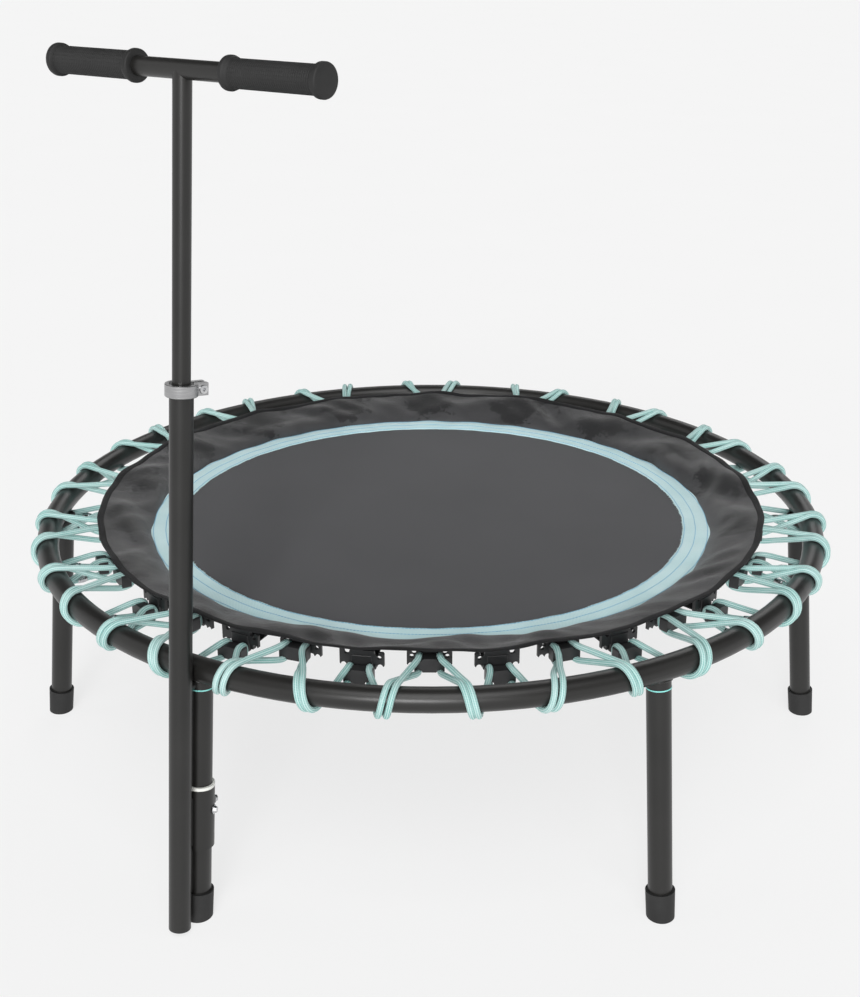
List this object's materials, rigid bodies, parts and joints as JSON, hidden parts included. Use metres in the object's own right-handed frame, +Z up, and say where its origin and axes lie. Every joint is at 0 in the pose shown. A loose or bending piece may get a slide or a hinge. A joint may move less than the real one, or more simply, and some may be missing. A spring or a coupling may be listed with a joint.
{
  "type": "mini trampoline",
  "caption": "Round fitness trampoline whose mat hangs on bungee loops inside a tube ring on legs, with a height-adjustable T-bar handle.",
  "frame": {"origin": "centre of the ring, on the floor", "axes": "+Z up, the handle stands on the -Y side outside the front leg, and +X is to the right of a person who stands outside the handle and faces the mat"},
  "size_m": [1.0506, 1.1234, 0.9525],
  "materials": {
    "frame_paint": "black satin powder coat",
    "black_rubber": "matt moulded rubber",
    "black_plastic": "matt moulded nylon",
    "mint_plastic": "mint moulded plastic",
    "white_plastic": "natural white plastic",
    "steel_hardware": "bright zinc plate",
    "collar_aluminium": "brushed anodised aluminium",
    "mat_weave": "dark grey woven polypropylene",
    "mint_webbing": "mint woven webbing with stitching",
    "skirt_nylon": "thin black woven nylon",
    "hem_tape": "black ribbed binding tape",
    "strap_webbing": "black woven webbing",
    "mint_cord": "mint braided sheath"
  },
  "bodies": {
    "frame": {"frame_ring": "frame_paint", "leg_socket_1": "frame_paint", "leg_socket_2": "frame_paint", "leg_socket_3": "frame_paint", "leg_socket_4": "frame_paint", "leg_socket_5": "frame_paint", "leg_socket_6": "frame_paint", "leg_1": "frame_paint", "leg_2": "frame_paint", "leg_3": "frame_paint", "leg_4": "frame_paint", "leg_5": "frame_paint", "leg_6": "frame_paint", "foot_1": "black_rubber", "foot_2": "black_rubber", "foot_3": "black_rubber", "foot_4": "black_rubber", "foot_5": "black_rubber", "foot_6": "black_rubber", "leg_inserts": "steel_hardware", "leg_studs": "steel_hardware", "spacer_rings": "mint_plastic", "handle_lower_tube": "frame_paint", "pole_plug": "black_plastic", "pole_bush": "black_plastic", "leg_sleeve": "frame_paint", "sleeve_liner": "white_plastic", "sleeve_screws": "steel_hardware", "sleeve_washers": "steel_hardware", "sleeve_web": "frame_paint", "pole_boss": "frame_paint", "boss_bolt": "steel_hardware", "bungee_loops_1": "mint_cord", "bungee_loops_2": "mint_cord", "bungee_loops_3": "mint_cord", "bungee_loops_4": "mint_cord", "bungee_loops_5": "mint_cord", "bungee_loops_6": "mint_cord", "loop_crimps": "steel_hardware"},
    "mat": {"jump_mat": "mat_weave", "mat_webbing": "mint_webbing", "skirt": "skirt_nylon", "skirt_hem": "hem_tape", "clip_straps": "strap_webbing", "upper_clips": "black_plastic", "lower_clips": "black_plastic"},
    "clamp": {"clamp_collar": "collar_aluminium", "clamp_bolt": "steel_hardware", "clamp_nut": "steel_hardware"},
    "handle": {"handle_upper_tube": "frame_paint", "glide_bush": "black_plastic", "crossbar": "frame_paint", "grip_left": "black_rubber", "grip_right": "black_rubber"}
  },
  "joints": [
    {"name": "mat_bounce", "type": "slide", "parent": "frame", "child": "mat", "axis": [0, 0, 1], "range_m": [-0.12, 0.02], "stiffness_N_per_m": 8000, "deforming": ["bungee_loops_1", "bungee_loops_2", "bungee_loops_3", "bungee_loops_4", "bungee_loops_5", "bungee_loops_6", "loop_crimps"]},
    {"name": "handle_turn", "type": "hinge", "parent": "frame", "child": "clamp", "pos_m": [0, -0.56431, 0.00355], "axis": [0, 0.1045, 0.9945], "range_deg": [-90, 90]},
    {"name": "handle_height", "type": "slide", "parent": "clamp", "child": "handle", "axis": [0, 0.1045, 0.9945], "range_m": [-0.24, 0.15]}
  ]
}
